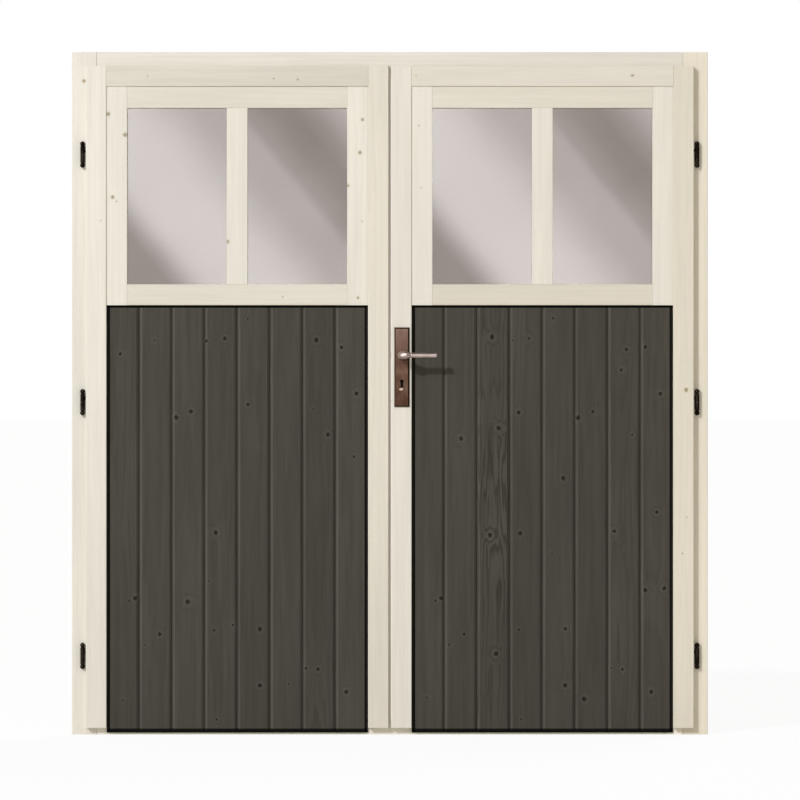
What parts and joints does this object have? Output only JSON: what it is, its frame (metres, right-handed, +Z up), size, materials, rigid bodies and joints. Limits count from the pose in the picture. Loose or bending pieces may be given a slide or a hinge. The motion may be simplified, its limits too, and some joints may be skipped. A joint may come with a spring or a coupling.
{
  "type": "garden shed door",
  "caption": "Double-leaf wooden shed door in its rebated frame, with glazed upper windows, dark boarded panels, barrel hinges and a lever handle on a long plate.",
  "frame": {"origin": "middle of the sill's underside, where the frame stands on its base", "axes": "+X along the width to the right seen from the front, +Y through the depth to the inside, +Z up; the front with the handle plate faces -Y"},
  "size_m": [1.77, 0.169, 1.9],
  "materials": {
    "spruce": "planed, untreated",
    "stained_boards": "dark grey stain",
    "acrylic_glass": "smooth, clear",
    "brown_bronze": "satin brown bronze",
    "dark_bronze": "dark burnished",
    "zinc_steel": "zinc plated"
  },
  "bodies": {
    "frame": {"left_jamb": "spruce", "right_jamb": "spruce", "head": "spruce", "sill": "spruce", "frame_corner_screws": "zinc_steel", "left_hinge_frame_halves": "dark_bronze", "right_hinge_frame_halves": "dark_bronze", "left_hinge_pins": "zinc_steel", "right_hinge_pins": "zinc_steel", "top_keeper": "zinc_steel", "bottom_keeper": "zinc_steel"},
    "left_leaf": {"left_hinge_stile": "spruce", "left_top_rail": "spruce", "left_middle_rail": "spruce", "left_bottom_rail": "spruce", "left_brace": "spruce", "left_sash_hinge_stile": "spruce", "left_sash_meeting_stile": "spruce", "left_sash_top_rail": "spruce", "left_sash_bottom_rail": "spruce", "left_sash_muntin": "spruce", "left_glazing_beads": "spruce", "left_pane_meeting": "acrylic_glass", "left_pane_hinge": "acrylic_glass", "left_boards": "stained_boards", "left_hinge_leaf_halves": "dark_bronze", "left_meeting_stile": "spruce", "meeting_bead": "spruce", "strike_plate": "zinc_steel", "top_bolt_guide": "zinc_steel", "bottom_bolt_guide": "zinc_steel"},
    "right_leaf": {"right_hinge_stile": "spruce", "right_top_rail": "spruce", "right_middle_rail": "spruce", "right_bottom_rail": "spruce", "right_brace": "spruce", "right_sash_hinge_stile": "spruce", "right_sash_meeting_stile": "spruce", "right_sash_top_rail": "spruce", "right_sash_bottom_rail": "spruce", "right_sash_muntin": "spruce", "right_glazing_beads": "spruce", "right_pane_meeting": "acrylic_glass", "right_pane_hinge": "acrylic_glass", "right_boards": "stained_boards", "right_hinge_leaf_halves": "dark_bronze", "right_meeting_stile": "spruce", "lock_case": "zinc_steel", "outer_plate": "brown_bronze", "inner_plate": "brown_bronze", "plate_screws": "zinc_steel"},
    "lever_set": {"outer_lever": "brown_bronze", "inner_lever": "brown_bronze", "spindle": "zinc_steel", "lock_follower": "zinc_steel"},
    "latch": {"latch_bolt": "zinc_steel"},
    "key_bolt": {"dead_bolt": "zinc_steel"},
    "top_shoot_bolt": {"top_bolt": "zinc_steel"},
    "bottom_shoot_bolt": {"bottom_bolt": "zinc_steel"}
  },
  "joints": [
    {"name": "left_leaf_swing", "type": "hinge", "parent": "frame", "child": "left_leaf", "pos_m": [-0.855, -0.043, 0.925], "axis": [0, 0, -1], "range_deg": [0, 120]},
    {"name": "right_leaf_swing", "type": "hinge", "parent": "frame", "child": "right_leaf", "pos_m": [0.855, -0.043, 0.925], "axis": [0, 0, 1], "range_deg": [0, 120]},
    {"name": "lever_turn", "type": "hinge", "parent": "right_leaf", "child": "lever_set", "pos_m": [0.0335, -0.037, 1.055], "axis": [0, 1, 0], "range_deg": [0, 40], "stiffness_Nm_per_rad": 1.2, "springref_deg": -28.65},
    {"name": "latch_slide", "type": "slide", "parent": "right_leaf", "child": "latch", "axis": [1, 0, 0], "range_m": [0, 0.005]},
    {"name": "dead_bolt_slide", "type": "slide", "parent": "right_leaf", "child": "key_bolt", "axis": [-1, 0, 0], "range_m": [0, 0.014]},
    {"name": "top_bolt_slide", "type": "slide", "parent": "left_leaf", "child": "top_shoot_bolt", "axis": [0, 0, 1], "range_m": [0, 0.02]},
    {"name": "bottom_bolt_slide", "type": "slide", "parent": "left_leaf", "child": "bottom_shoot_bolt", "axis": [0, 0, -1], "range_m": [0, 0.02]}
  ],
  "couplings": [
    {"joint": "latch_slide", "follows": "lever_turn", "m_per_rad": 0.007161}
  ]
}
